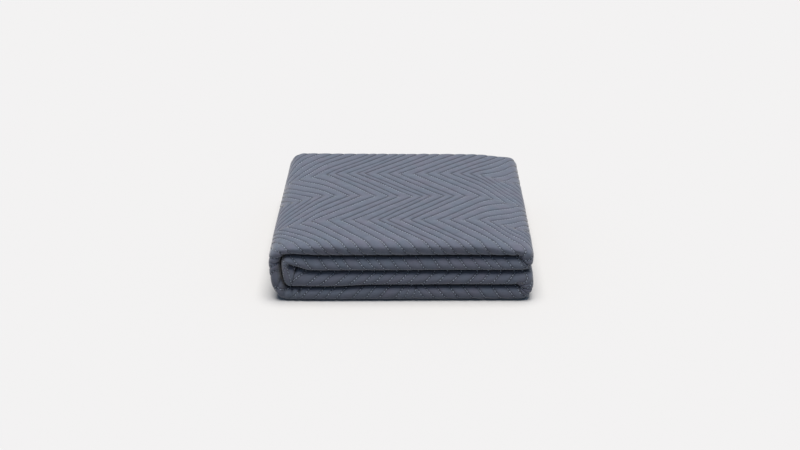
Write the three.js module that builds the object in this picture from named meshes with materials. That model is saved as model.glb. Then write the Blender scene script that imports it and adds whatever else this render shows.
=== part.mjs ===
// A quilted moving blanket, folded for storage. Both long edges are folded to the middle and then in
// half, which makes a strip four plies thick. The strip's ends are folded in until they meet, and the
// strip is folded in half again, with the ends inside. It is one piece of cloth and one closed solid.
// Millimetres, +Z up. The origin is on the floor, under the middle of the folded blanket. X runs along
// the strip. -Y is the front, where each of the four layers shows its one closed fold.
import * as THREE from "three";

// Driving dimensions. A cloth of about 2030 by 1830 mm (80 by 72 inches) folds to this size.
const FOLDED_WIDTH = 525; // X, between the outsides of the end bends
const FOLDED_DEPTH = 460; // Y, from the front folds to the back folds
const FOLDED_HEIGHT = 131; // Z, four layers of four plies
const LAYERS = 4;
const PLIES = 4;
const PLY_GAP = 0.5; // between the plies of a layer
const LAYER_GAP = 1.0; // between layers
const BEND_THICKNESS = 24; // the strip is pulled thinner round the outer left bend
const LEFT_REACH = 40; // from the left side to the left bends' centre
const RIGHT_REACH = 33; // from the right side to the right bends' centres
const UPPER_RIGHT_REACH = 30.5; // the upper right bend's own reach
const BACK_NOSE = 7; // how far the back folds curve out
const CLOTH_COLOUR = 0x5b6675;

// Each layer's front fold, lowest layer first.
const NOSES = [20, 20, 20, 22]; // how far it curves out
const SHOULDERS = [2.2, 1.8, 1.8, 1.9]; // how square it is above its furthest point
const HANGS = [0, 0.1, 0.1, -0.15]; // how far below its middle that point is, by half its height
const UNDERSIDE = 2.6; // how square every front fold is below its furthest point
const BEND_NOSE = 17; // round a bend the front fold is evenly round

// The quilting: seams 25 mm apart that zigzag from front to back.
const SEAM_PITCH = 25; // along the strip
const SEAM_DEPTH = 2.2; // how far a seam draws the cloth in
const FOLD_RELIEF = 0.6; // how much of that is left round the folds, where the cloth is stretched
const FIRST_CORNER = 9; // from the back fold to the zigzag's first corner, over the top
const BAND = 117; // from one corner to the next, along Y
const SIDE_SHIFT = 24; // the corners lie this much further forward beside the two sides
const FOLD_LEAN = 0.65; // how far seams run along the strip for each step over a front fold
const LAST_BAND_LONG = 25; // added to the band that turns over the front fold, on the upper layers
const LAST_BAND_SHORT = -26; // and on the lower ones
const SEAM_WANDER = 3.2; // how far each seam strays from its even place
const SLOW_WANDER = 6; // and how far seams stray in groups

// Unevenness of the folds.
const INNER_TIP_RISE = 18; // the middle gap climbs at the inner left bend
const LEFT_SAG = 4; // the lowest gap dips towards the left
const RIGHT_SLOPE = 8; // the top falls away towards the right side
const FOLD_SPREAD = [0, -3, -6, -10]; // how far each layer's front fold stands out, lowest first
const LEFT_DROOP = 7; // the top's left edge sinks this much
const RIGHT_DROOP = 5; // and its right edge
const FRONT_SAG = 3.5; // the upper layers sink this much at the front
const BACK_SAG = 2; // and at the back
const FRONT_SKEW = 6; // the right end of the front lies this much further back

const FRONT_NOSE = Math.max(...NOSES);
const LAYER_PITCH = (FOLDED_HEIGHT + LAYER_GAP) / LAYERS;
const LAYER = LAYER_PITCH - LAYER_GAP;
const PLY = (LAYER - (PLIES - 1) * PLY_GAP) / PLIES;
const PAIR = 2 * PLY + PLY_GAP;
const HALF_GAP = LAYER_GAP / 2;
const LEFT_X = LEFT_REACH - FOLDED_WIDTH / 2;
const RIGHT_X = FOLDED_WIDTH / 2 - RIGHT_REACH;
const FRONT_Y = FRONT_NOSE - FOLDED_DEPTH / 2; // where the flat plies end and the front folds start
const BACK_Y = FOLDED_DEPTH / 2 - BACK_NOSE;
const QUARTER = Math.PI / 2;

const lerp = THREE.MathUtils.lerp;
const degrees = THREE.MathUtils.degToRad;
const ramp = (x, from, to) => THREE.MathUtils.smoothstep(x, from, to);

// ---- The gaps between the layers, at each x ---------------------------------------------------

const leftDip = (x) => 1 - ramp(x, LEFT_X + 80, LEFT_X + 170);
const GAP_SHIFT = [
  () => 0,
  (x) => -LEFT_SAG * leftDip(x),
  (x) => INNER_TIP_RISE * (1 - ramp(x, LEFT_X - 12, LEFT_X + 48)),
  (x) => LEFT_SAG * (1 - ramp(x, LEFT_X, LEFT_X + 70)),
  (x) => -RIGHT_SLOPE * ramp(x, RIGHT_X - 75, RIGHT_X + 20),
];

// The height of the middle of gap k; gap 0 is the floor and gap 4 is the top.
const gapHeight = (k, x) => k * LAYER_PITCH - HALF_GAP + GAP_SHIFT[k](x);

// ---- The strip's route through the stack, in the XZ plane --------------------------------------
// A piece of the route places a point at share u of its way and n of the strip's thickness. The
// face n = 1 is the strip's outside: the top, the left side, both right bends and the underside.

// A straight layer above gap k. Its outer face is up where outerFaceUp is true.
function layer(k, outerFaceUp, from, to) {
  return {
    layer: k,
    outerFaceUp,
    cloth: Math.abs(to(1) - from(1)),
    place(u, n) {
      const x = lerp(from(n), to(n), u);
      const low = gapHeight(k, x) + HALF_GAP;
      const high = gapHeight(k + 1, x) - HALF_GAP;
      return [x, lerp(low, high, outerFaceUp ? n : 1 - n)];
    },
  };
}

// The distance from a bend's centre to a face of it. A face is a superellipse that reaches `side`
// sideways, `up` above the centre and `down` below it, with its own squareness above and below.
function reach(face, angle) {
  const above = Math.sin(angle) > 0;
  const power = above ? face.powerUp : face.powerDown;
  const across = Math.abs(Math.cos(angle) / face.side) ** power;
  const along = Math.abs(Math.sin(angle) / (above ? face.up : face.down)) ** power;
  return (across + along) ** (-1 / power);
}

// A bend about gap k at x, turning from one angle to another, between an inside and an outside face.
function bend({ k, x, from, to, inside, outside, outerFaceOut, cloth }) {
  const centre = gapHeight(k, x);
  return {
    cloth,
    place(u, n) {
      const angle = lerp(from, to, u);
      const share = outerFaceOut ? n : 1 - n;
      const distance = lerp(reach(inside, angle), reach(outside, angle), share);
      return [x + distance * Math.cos(angle), centre + distance * Math.sin(angle)];
    },
  };
}

// The face of a bend about gap k that meets gap k + rows above and gap k - rows below, on this side
// of those gaps or, with beyond = true, on their far side.
function bendFace(k, x, rows, side, powerUp, powerDown, beyond = false) {
  const gap = beyond ? HALF_GAP : -HALF_GAP;
  const centre = gapHeight(k, x);
  const up = gapHeight(k + rows, x) + gap - centre;
  const down = centre - gapHeight(k - rows, x) + gap;
  return { side, up, down, powerUp, powerDown };
}

const tightFace = { side: HALF_GAP, up: HALF_GAP, down: HALF_GAP, powerUp: 2, powerDown: 2 };

function rightBend(k, side, powerUp, powerDown) {
  return bend({
    k,
    x: RIGHT_X,
    from: -QUARTER,
    to: QUARTER,
    inside: tightFace,
    outside: bendFace(k, RIGHT_X, 1, side, powerUp, powerDown),
    outerFaceOut: true,
    cloth: 84,
  });
}

const outerLeftBend = bend({
  k: 2,
  x: LEFT_X,
  from: QUARTER,
  to: 3 * QUARTER,
  inside: bendFace(2, LEFT_X, 1, LEFT_REACH - BEND_THICKNESS, 2.6, 3, true),
  outside: bendFace(2, LEFT_X, 2, LEFT_REACH, 2.5, 2.9),
  outerFaceOut: true,
  cloth: 168,
});
const innerLeftBend = bend({
  k: 2,
  x: LEFT_X,
  from: 3 * QUARTER,
  to: QUARTER,
  inside: tightFace,
  outside: bendFace(2, LEFT_X, 1, LEFT_REACH - BEND_THICKNESS - LAYER_GAP, 2.6, 3),
  outerFaceOut: false,
  cloth: 84,
});

// The strip's two ends meet just past the inner left bend, along a slanting joint.
const atLeft = () => LEFT_X;
const atRight = () => RIGHT_X;
const firstEnd = (n) => LEFT_X + 7 + 9 * n;
const lastEnd = (n) => firstEnd(n) + 1 + 4 * n * n;

const ROUTE = [
  layer(1, true, firstEnd, atLeft),
  innerLeftBend,
  layer(2, false, atLeft, atRight),
  rightBend(3, UPPER_RIGHT_REACH, 2.3, 4),
  layer(3, true, atRight, atLeft),
  outerLeftBend,
  layer(0, false, atLeft, atRight),
  rightBend(1, RIGHT_REACH, 4, 2.5),
  layer(1, true, atRight, lastEnd),
];
const [STUB, INNER_LEFT, SECOND, UPPER_RIGHT, TOP, OUTER_LEFT, BOTTOM, LOWER_RIGHT, THIRD] = ROUTE;

let clothLength = 0;
for (const piece of ROUTE) {
  piece.start = clothLength;
  clothLength += piece.cloth;
  piece.end = clothLength;
}

// The route's piece at the distance s along the strip, and the share of it that is behind s.
function along(s) {
  const piece = ROUTE.find((candidate) => s <= candidate.end) ?? THIRD;
  return { piece, u: THREE.MathUtils.clamp((s - piece.start) / piece.cloth, 0, 1) };
}

// The layers before and after a bend, or a layer twice.
function neighbours(piece) {
  const i = ROUTE.indexOf(piece);
  return piece.layer === undefined ? [ROUTE[i - 1], ROUTE[i + 1]] : [piece, piece];
}

// ---- The front folds ---------------------------------------------------------------------------

// How far a layer's front fold reaches out from FRONT_Y, at the height up (-1 to 1, as n grows).
function layerFold({ layer: k, outerFaceUp }, inset, up) {
  const hang = HANGS[k];
  const height = (outerFaceUp ? up : -up) + hang;
  const power = height > 0 ? SHOULDERS[k] : UNDERSIDE;
  const away = height > 0 ? height / (1 + hang) : -height / (1 - hang);
  const across = (1 - Math.min(away, 1) ** power) ** (1 / power);
  return NOSES[k] - FRONT_NOSE - (NOSES[k] - inset) * across;
}

// The same at any place of the strip: round a bend the fold is evenly round.
function foldOut({ piece, u }, inset, up) {
  const [before, after] = neighbours(piece);
  const even = lerp(layerFold(before, inset, up), layerFold(after, inset, up), u);
  const across = Math.sqrt(Math.max(1 - up * up, 0));
  const bent = BEND_NOSE - FRONT_NOSE - (BEND_NOSE - inset) * across;
  return lerp(even, bent, piece.layer === undefined ? Math.sin(Math.PI * u) : 0);
}

// Each layer's front fold stands out by its own amount, and the bends blend two layers' amounts.
function foldSpread({ piece, u }, y) {
  const [before, after] = neighbours(piece).map(({ layer: k }) => FOLD_SPREAD[k]);
  return lerp(before, after, u) * (1 - ramp(y, FRONT_Y, FRONT_Y + 120));
}

// The top's droop towards its sides, the upper layers' sag and the skew of the front.
function settle([x, y, z]) {
  const left = LEFT_DROOP * (1 - ramp(x, LEFT_X - 20, LEFT_X + 75));
  const right = RIGHT_DROOP * ramp(x, RIGHT_X - 85, RIGHT_X + 15);
  const inTop = ramp(z, 3 * LAYER_PITCH - 4, FOLDED_HEIGHT);
  const droop = (left + right) * inTop * (1 - ramp(y, BACK_Y - 110, BACK_Y - 10));
  const upper = ramp(z, 1.2 * LAYER_PITCH, 3 * LAYER_PITCH);
  const sag = FRONT_SAG * (1 - ramp(y, FRONT_Y, FRONT_Y + 80)) + BACK_SAG * ramp(y, BACK_Y - 120, BACK_Y);
  const forward = (BACK_Y - y) / (BACK_Y - FRONT_Y);
  const skew = FRONT_SKEW * ramp(x, LEFT_X, RIGHT_X) * THREE.MathUtils.clamp(forward, 0, 1);
  return [x, y + skew, z - droop - sag * upper];
}

// ---- The quilting ------------------------------------------------------------------------------

// The length from the middle of a fold to its end.
function halfFoldArc(nose, half, power) {
  let length = 0;
  let last = [nose, 0];
  for (let i = 1; i <= 90; i += 1) {
    const angle = (QUARTER * i) / 90;
    const next = [nose * Math.cos(angle) ** (2 / power), half * Math.sin(angle) ** (2 / power)];
    length += Math.hypot(next[0] - last[0], next[1] - last[1]);
    last = next;
  }
  return length;
}

const BACK_SQUARENESS = 2.3;
const BACK_NOSE_ARC = halfFoldArc(BACK_NOSE, PAIR / 2, BACK_SQUARENESS);
const FRONT_FOLD_V = BACK_NOSE_ARC + BACK_Y - FRONT_Y;
const FRONT_FOLD_ARC = 2 * halfFoldArc(FRONT_NOSE, LAYER / 2, 2);

// The band that turns over the front fold is long on the two upper layers and at the right of the
// lowest one, so that its seams lean the other way there, and short elsewhere.
function bandExtra(s) {
  const knuckle = 0.6 * Math.exp(-(((s - UPPER_RIGHT.end) / 45) ** 2));
  const upper = 1 - ramp(s, TOP.end - 60, OUTER_LEFT.end + 20) - knuckle;
  const rise = ramp(s, BOTTOM.start + 210, BOTTOM.start + 350);
  const fall = ramp(s, LOWER_RIGHT.start, LOWER_RIGHT.end);
  return lerp(LAST_BAND_SHORT, LAST_BAND_LONG, Math.max(upper, rise * (1 - fall)));
}

const triangleWave = (w) => BAND - Math.abs(THREE.MathUtils.euclideanModulo(w, 2 * BAND) - BAND);

// How much further forward the zigzag's corners lie, over the top.
function sideShift(s, v) {
  const right = 1 - ramp(s, TOP.start - 20, TOP.start + 70);
  const left = ramp(s, TOP.end - 60, TOP.end + 30);
  const fades = ramp(v, 0, 150) * (1 - ramp(v, FRONT_FOLD_V - 80, FRONT_FOLD_V));
  return SIDE_SHIFT * (right + left) * fades;
}

// How far a seam has moved along the strip at the distance v from the back fold, over the top.
function zigzag(s, v) {
  const extra = bandExtra(s);
  const overFold = THREE.MathUtils.clamp(v - FRONT_FOLD_V, 0, FRONT_FOLD_ARC);
  const w = v - FIRST_CORNER - (1 - FOLD_LEAN) * overFold - sideShift(s, v);
  if (w > 4 * BAND + extra) {
    return triangleWave(w - extra) - extra;
  }
  return w > 3 * BAND ? 4 * BAND - w : triangleWave(w);
}

// How far a seam strays along the strip, on its own and with its neighbours.
function wander(phase, v) {
  const corner = (v - FIRST_CORNER) / BAND;
  const alone = 0.6 * Math.sin(2.1 * phase + 1.7 * corner) + 0.4 * Math.sin(3.9 * phase - 2.3 * corner + 1);
  return SEAM_WANDER * alone + SLOW_WANDER * Math.sin(0.62 * phase + 0.9 * corner);
}

// Where a seam, or a line a share of the way to the next one, lies at the distance v.
function seamAt(phase, v) {
  const share = phase - Math.floor(phase);
  if (share > 0) {
    return lerp(seamAt(phase - share, v), seamAt(phase - share + 1, v), share);
  }
  let s = phase * SEAM_PITCH;
  for (let i = 0; i < 24; i += 1) {
    s = phase * SEAM_PITCH + zigzag(s, v);
  }
  return s + wander(phase, v);
}

// How far the quilting draws the cloth in: SEAM_DEPTH on a seam, nothing between two seams.
const quilting = (phase) => SEAM_DEPTH * (1 - Math.abs(Math.sin(Math.PI * phase)) ** 0.7);

// Where a flat ply's outer face can be seen, and so keeps its quilting.
function faceShows({ piece, u }) {
  switch (piece) {
    case UPPER_RIGHT:
      return ramp(u, 0.1, 0.4);
    case TOP:
      return 1;
    case OUTER_LEFT:
      return 1 - ramp(u, 0.75, 0.95);
    case LOWER_RIGHT:
      return ramp(u, 0.1, 0.3) * (1 - ramp(u, 0.7, 0.9));
    default:
      return 0;
  }
}

// Creases across the front folds: the share of the piece, how deep and wide each is, how far it runs
// back, and how much it fades from the fold's inner side to its outer one.
const CREASES = [
  { piece: UPPER_RIGHT, share: 0.26, depth: 5.5, width: 5, back: 110, inner: 0 },
  { piece: LOWER_RIGHT, share: 0.18, depth: 4, width: 5, back: 30, inner: 1 },
  { piece: LOWER_RIGHT, share: 0.35, depth: 3, width: 5, back: 30, inner: 0.5 },
  { piece: OUTER_LEFT, share: 0.14, depth: 3, width: 5, back: 30, inner: 0.3 },
  { piece: OUTER_LEFT, share: 0.44, depth: 3, width: 5, back: 30, inner: 0.6 },
  { piece: OUTER_LEFT, share: 0.92, depth: 4.5, width: 6, back: 30, inner: 1 },
];

function creasing(s, y, up) {
  let depth = 0;
  for (const { piece, share, depth: deepest, width, back, inner } of CREASES) {
    const away = (s - piece.start - share * piece.cloth) / width;
    const fade = (1 - ramp(y, FRONT_Y, FRONT_Y + back)) * lerp(1, (1 - up) / 2, inner);
    depth += deepest * Math.exp(-2 * away * away) * fade;
  }
  return depth;
}

// ---- The four plies, across the strip ----------------------------------------------------------
// A row is a line of the cloth's surface along the whole strip: its y, its n, and the way in from
// the surface there. The rows run round both sides of the cloth, from hem to hem and back.

const share = (height) => height / LAYER;
const HEM_Y = FRONT_Y + 4;
const TOP_STRIP = 22; // about the width of the strips over the top
const rounded = (value) => Math.sign(value) * Math.abs(value) ** (2 / BACK_SQUARENESS);

function flatRow(y, n, kind = "hidden") {
  return { y, n, kind, inY: 0, inN: n === 1 ? -1 : 0, turn: 1, up: 1, out: 0 };
}

// The rows round a fold, from one angle to another; 90 degrees is the way that n grows. A front fold
// has no nose here, because foldOut shapes it for each layer.
function foldRows({ y, nose, inset, n, halfHeight, from, to, steps, quilted = false }) {
  const rows = [];
  for (let i = 0; i <= steps; i += 1) {
    const angle = degrees(lerp(from, to, i / steps));
    const front = nose === undefined;
    const up = front ? Math.sin(angle) : rounded(Math.sin(angle));
    const atEnd = i === 0 || i === steps;
    const facesOut = n + halfHeight * up > 1 - 1e-9;
    rows.push({
      y: front ? y : y + nose * rounded(Math.cos(angle)),
      n: n + halfHeight * up,
      front,
      inset,
      up: front ? up : 1,
      out: front ? (FRONT_NOSE - inset) * Math.cos(angle) : 0,
      inY: quilted ? Math.cos(angle) * (front ? 1 : -1) : 0,
      inN: quilted ? -Math.sin(angle) : 0,
      turn: ramp(Math.abs(Math.sin(angle)), 0.8, 1),
      kind: quilted && (!atEnd || facesOut) ? "fold" : "hidden",
      middle: quilted && !front && Math.abs(up) < 1e-9,
    });
  }
  return rows;
}

// Rows over the top, of which some lie on the zigzag's corners.
function topRows() {
  const corners = [1, 2, 3].map((i) => BACK_Y - (FIRST_CORNER + i * BAND - BACK_NOSE_ARC));
  const stops = [BACK_Y, ...corners, FRONT_Y];
  const rows = [];
  for (let k = 1; k < stops.length; k += 1) {
    const steps = Math.round((stops[k - 1] - stops[k]) / TOP_STRIP);
    for (let i = 0; i < steps; i += 1) {
      rows.push(flatRow(lerp(stops[k - 1], stops[k], i / steps), 1, "face"));
    }
  }
  return rows.slice(1);
}

const backFold = (n) => ({ y: BACK_Y, nose: BACK_NOSE, n, halfHeight: share(PAIR / 2) });
const innerBackFold = (n) => ({ y: BACK_Y, nose: 0.4, n, halfHeight: share(PLY_GAP / 2) });
const FRONT_FOLD = { y: FRONT_Y, inset: 0, n: 0.5, halfHeight: 0.5 };
const INNER_FRONT_FOLD = { y: FRONT_Y, inset: PLY + 2, n: 0.5, halfHeight: 0.5 - share(PLY) };
const UPPER_PAIR = 1 - share(PAIR / 2);
const LOWER_PAIR = share(PAIR / 2);

const outerRows = [
  flatRow(HEM_Y, 1 - share(PAIR)),
  ...foldRows({ ...backFold(UPPER_PAIR), from: -90, to: 90, steps: 4, quilted: true }),
  ...topRows(),
  ...foldRows({ ...FRONT_FOLD, from: 90, to: -90, steps: 8, quilted: true }),
  ...foldRows({ ...backFold(LOWER_PAIR), from: -90, to: 90, steps: 4, quilted: true }),
  flatRow(HEM_Y, share(PAIR)),
];
const innerRows = [
  flatRow(HEM_Y, share(PLY + PLY_GAP)),
  ...foldRows({ ...innerBackFold(LOWER_PAIR), from: 90, to: -90, steps: 2 }),
  ...foldRows({ ...INNER_FRONT_FOLD, from: -90, to: 90, steps: 4 }),
  ...foldRows({ ...innerBackFold(UPPER_PAIR), from: 90, to: -90, steps: 2 }),
  flatRow(HEM_Y, 1 - share(PLY + PLY_GAP)),
];

// Each outer row's distance v over the cloth, from the middle of the upper pair's back fold.
let distance = 0;
outerRows.forEach((row, i) => {
  const before = outerRows[Math.max(i - 1, 0)];
  distance += Math.hypot(row.y - row.out - before.y + before.out, (row.n - before.n) * LAYER);
  row.v = distance;
});
const firstMiddle = outerRows.find((row) => row.middle).v;
for (const row of outerRows) {
  row.v -= firstMiddle;
}
const ROWS = [...outerRows, ...innerRows];

// ---- The samples along each row ----------------------------------------------------------------

const LAYER_STEPS = [14, 30, 48, 80, 170, 378, 418].map((way) => LEFT_X + way);
const BEND_STEPS = 7;
const SPARSE_LAYER_STEPS = [25, 55].map((way) => LEFT_X + way);
const SPARSE_BEND_STEPS = 4;
const FOLD_SEAM_STEPS = 2; // samples from one seam to the next, round a fold
const FACE_SEAM_STEPS = 3; // and on a flat face
const MIN_STEP = 2.5;
const FIRST_SEAM = -8;
const LAST_SEAM = Math.ceil(clothLength / SEAM_PITCH) + 8;

// Samples enough for the shape of a piece where no quilting shows.
function plainSamples(piece, layerSteps, bendSteps) {
  const samples = [piece.start];
  if (piece.layer === undefined) {
    for (let i = 1; i < bendSteps; i += 1) {
      samples.push(piece.start + (piece.cloth * i) / bendSteps);
    }
    return samples;
  }
  const [from] = piece.place(0, 1);
  const [to] = piece.place(1, 1);
  for (const x of layerSteps) {
    if ((x - from) * (x - to) < 0) {
      samples.push(piece.start + Math.abs(x - from));
    }
  }
  return samples.sort((a, b) => a - b);
}

// Samples on the seams and between them, from one s to another. Each has its phase.
function quiltSamples(v, from, to, seamSteps) {
  const samples = [];
  for (let i = FIRST_SEAM * seamSteps; i < LAST_SEAM * seamSteps; i += 1) {
    const phase = i / seamSteps;
    const s = seamAt(phase, v);
    if (s > from && s < to) {
      samples.push({ s, phase });
    }
  }
  return samples;
}

// The stretches of the strip whose flat outer face shows.
const SHOWN = [
  { from: UPPER_RIGHT.start, to: OUTER_LEFT.end },
  { from: LOWER_RIGHT.start, to: LOWER_RIGHT.end },
];

function thin(samples) {
  const kept = [{ s: 0 }];
  for (const sample of samples.sort((a, b) => a.s - b.s)) {
    if (sample.s - kept.at(-1).s > MIN_STEP && clothLength - sample.s > MIN_STEP) {
      kept.push(sample);
    }
  }
  return [...kept, { s: clothLength }];
}

// All samples of a row along the strip.
const unquilted = (samples) => samples.map((s) => ({ s }));
const PLAIN = ROUTE.flatMap((piece) => plainSamples(piece, LAYER_STEPS, BEND_STEPS));
const SPARSE = ROUTE.flatMap((piece) => plainSamples(piece, SPARSE_LAYER_STEPS, SPARSE_BEND_STEPS));
function rowSamples({ kind, v }) {
  if (kind === "hidden") {
    return thin(unquilted(PLAIN));
  }
  if (kind === "fold") {
    return thin(quiltSamples(v, 0, clothLength, FOLD_SEAM_STEPS));
  }
  const hidden = SPARSE.filter((s) => !SHOWN.some(({ from, to }) => s > from && s < to));
  const shown = SHOWN.flatMap(({ from, to }) => quiltSamples(v, from, to, FACE_SEAM_STEPS));
  return thin([...unquilted(hidden), ...shown]);
}

// The seam number at s, between the samples of a quilted row.
function numberAt(s, samples) {
  const i = Math.max(samples.findIndex((sample) => sample.s >= s), 1);
  const [before, after] = [samples[i - 1], samples[i]];
  const first = before.phase ?? after.phase - 1;
  return lerp(first, after.phase ?? first + 1, (s - before.s) / (after.s - before.s));
}

// The key that puts a sample in order against those of the next row. Samples on one seam have like
// keys in neighbouring rows: within a shown stretch of two flat rows, and all along a fold.
const STRETCH_KEY = 10000;
const SAME_SEAM = 0.04;
const AFTER_ALL = 1e7;
function stretchKey({ s, phase }) {
  const before = SHOWN.filter(({ from }) => s > from).length;
  const within = phase !== undefined;
  return STRETCH_KEY * (2 * before - (within ? 1 : 0)) + (phase ?? s / SEAM_PITCH);
}

function keysOf(row, other) {
  const kinds = [row.kind, other.kind];
  return row.samples.map((sample) => {
    if (sample.s === clothLength) {
      return AFTER_ALL;
    }
    if (kinds.includes("hidden")) {
      return sample.s / SEAM_PITCH;
    }
    if (!kinds.includes("fold")) {
      return stretchKey(sample);
    }
    return sample.phase ?? numberAt(sample.s, (row.kind === "fold" ? row : other).samples);
  });
}

// ---- The solid ---------------------------------------------------------------------------------

function surfacePoint(row, { s, phase }) {
  const place = along(s);
  const faceShare = row.n === 1 || row.inN < 0 ? faceShows(place) : 0;
  const relief = phase === undefined ? 0 : lerp(FOLD_RELIEF, faceShare, row.turn) * quilting(phase);
  const inward = relief + lerp(1, faceShare, row.turn) * creasing(s, row.y, row.up);
  const y = row.y + (row.front ? foldOut(place, row.inset, row.up) : 0);
  const [x, z] = place.piece.place(place.u, row.n + share(row.inN * inward));
  return settle([x, y + row.inY * inward - foldSpread(place, y), z]);
}

const step = (sample, other) => Math.abs((other?.s ?? 0) - (sample?.s ?? 0));

// Joins two neighbouring rows by triangles. The sample with the lower key comes next, and where two
// samples are on one seam, the one that makes the shorter cross edge.
function zip(row, other, triangles) {
  const keys = keysOf(row, other);
  const otherKeys = keysOf(other, row);
  let i = 0;
  let j = 0;
  while (i < keys.length - 1 || j < otherKeys.length - 1) {
    const ahead = (otherKeys[j + 1] ?? Infinity) - (keys[i + 1] ?? Infinity);
    const shorter = step(row.samples[i], other.samples[j + 1]) - step(row.samples[i + 1], other.samples[j]);
    if (Math.abs(ahead) < SAME_SEAM ? shorter >= 0 : ahead > 0) {
      triangles.push(row.first + i, row.first + i + 1, other.first + j);
      i += 1;
    } else {
      triangles.push(other.first + j + 1, other.first + j, row.first + i);
      j += 1;
    }
  }
}

// The strip's two ends: the outline of its plies, filled with triangles.
function capEnds(triangles) {
  const outline = ROWS.map((row) => new THREE.Vector2(row.y - row.out, row.n * LAYER));
  const firsts = ROWS.map((row) => row.first);
  const lasts = ROWS.map((row) => row.first + row.samples.length - 1);
  for (const [a, b, c] of THREE.ShapeUtils.triangulateShape(outline, [])) {
    triangles.push(firsts[a], firsts[b], firsts[c]);
    triangles.push(lasts[a], lasts[c], lasts[b]);
  }
}

function blanketGeometry() {
  const positions = [];
  for (const row of ROWS) {
    row.first = positions.length / 3;
    row.samples = rowSamples(row);
    for (const sample of row.samples) {
      positions.push(...surfacePoint(row, sample));
    }
  }
  const triangles = [];
  ROWS.forEach((row, i) => zip(row, ROWS[(i + 1) % ROWS.length], triangles));
  capEnds(triangles);
  const geometry = new THREE.BufferGeometry();
  geometry.setAttribute("position", new THREE.Float32BufferAttribute(positions, 3));
  geometry.setIndex(triangles);
  geometry.computeVertexNormals();
  return geometry;
}

const cloth = new THREE.MeshStandardMaterial({ color: CLOTH_COLOUR, roughness: 0.9, metalness: 0 });
const blanket = new THREE.Mesh(blanketGeometry(), cloth);
blanket.name = "blanket";

const model = new THREE.Group();
model.add(blanket);
export default model;
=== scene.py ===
"""A folded quilted moving blanket on a plain pale floor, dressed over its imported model.

The blanket is made here once more with its own finer surface: the same folds and the same zigzag
seams as the solid, but with each seam a narrow groove between soft channels, with its stitches in it.
Lengths are in millimetres until a mesh is made, and then in metres.
"""
import math

import bpy
import numpy as np
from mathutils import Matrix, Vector
from mathutils.geometry import tessellate_polygon


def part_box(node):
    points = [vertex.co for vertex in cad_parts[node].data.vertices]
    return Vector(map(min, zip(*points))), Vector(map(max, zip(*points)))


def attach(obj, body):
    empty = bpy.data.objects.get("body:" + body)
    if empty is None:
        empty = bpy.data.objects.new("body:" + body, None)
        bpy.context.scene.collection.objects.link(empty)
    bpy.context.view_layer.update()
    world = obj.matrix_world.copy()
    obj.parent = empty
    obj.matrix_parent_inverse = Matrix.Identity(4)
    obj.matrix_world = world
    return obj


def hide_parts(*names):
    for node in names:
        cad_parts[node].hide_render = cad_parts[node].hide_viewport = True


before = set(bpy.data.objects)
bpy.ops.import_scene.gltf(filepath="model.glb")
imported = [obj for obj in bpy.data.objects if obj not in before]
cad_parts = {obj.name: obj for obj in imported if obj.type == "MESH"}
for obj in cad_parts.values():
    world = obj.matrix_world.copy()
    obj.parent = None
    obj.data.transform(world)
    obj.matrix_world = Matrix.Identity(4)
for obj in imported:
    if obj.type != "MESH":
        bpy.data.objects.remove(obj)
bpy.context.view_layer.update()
BODY = "root"
NODE = "blanket"
MM = 0.001

# ---- Sizes: the folded block from the frame, and the same fold as the solid's ---------------------

LOW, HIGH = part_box(NODE)
FOLDED_WIDTH = round((HIGH[0] - LOW[0]) / MM)
FOLDED_DEPTH = round(2 * HIGH[1] / MM)
FOLDED_HEIGHT = round(HIGH[2] / MM)
LAYERS = 4
PLIES = 4
PLY_GAP = 0.5
LAYER_GAP = 1.0
BEND_THICKNESS = 22
BEND_GAP = 3.5  # between the two left bends
LEFT_REACH = 40
RIGHT_REACH = 33
UPPER_RIGHT_REACH = 30.5
BACK_NOSE = 7
# Each layer's front fold, lowest layer first: how far it curves out, how square it is above its
# furthest point, and how far below the layer's middle that point hangs, as a share of half a layer.
NOSES = (20, 20, 20, 22)
SHOULDERS = (2.2, 1.8, 1.8, 2.0)
HANGS = (0.0, 0.1, 0.1, -0.2)
UNDERSIDE = 2.6  # how square every front fold is below its furthest point
BEND_NOSE = 17  # round a bend the front fold is evenly round
FRONT_SAG = 3.5  # the two upper layers sink this much at the front
BACK_SAG = 2.0  # and at the back
FRONT_SKEW = 6  # the right end of the front lies this much further back
BACK_SQUARENESS = 2.3

SEAM_PITCH = 25  # along the strip
SEAM_SLANT = math.sqrt(0.5)  # a seam's true distance from the next, as a share of the pitch
FIRST_CORNER = 9
BAND = 117
SIDE_SHIFT = 24  # the zigzag's corners lie this much further forward beside the two sides
FOLD_LEAN = 0.65  # how far seams run along the strip for each step over a front fold
LAST_BAND_LONG = 25  # the band that turns over the front fold, on the two upper layers
LAST_BAND_SHORT = -26  # and on the two lower ones

INNER_TIP_RISE = 18  # the joint inside the inner left bend rises this much to its tip
LEFT_SAG = 4  # the gaps below and above it open this much towards the left
RIGHT_SLOPE = 8  # the top slopes down this much at the right
LEFT_DROOP = 7  # and the top layer droops this much at the left of the front
RIGHT_DROOP = 5  # and at its right
FOLD_SPREAD = (0, -0.5, -2.5, -4.5)  # each layer's front fold stands this far out, lowest first

FRONT_NOSE = max(NOSES)
LAYER_PITCH = (FOLDED_HEIGHT + LAYER_GAP) / LAYERS
LAYER = LAYER_PITCH - LAYER_GAP
PLY = (LAYER - (PLIES - 1) * PLY_GAP) / PLIES
PAIR = 2 * PLY + PLY_GAP  # two plies with one back fold
HALF_GAP = LAYER_GAP / 2
LEFT_X = LEFT_REACH - FOLDED_WIDTH / 2
RIGHT_X = FOLDED_WIDTH / 2 - RIGHT_REACH
FRONT_Y = FRONT_NOSE - FOLDED_DEPTH / 2
BACK_Y = FOLDED_DEPTH / 2 - BACK_NOSE
QUARTER = math.pi / 2

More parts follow.
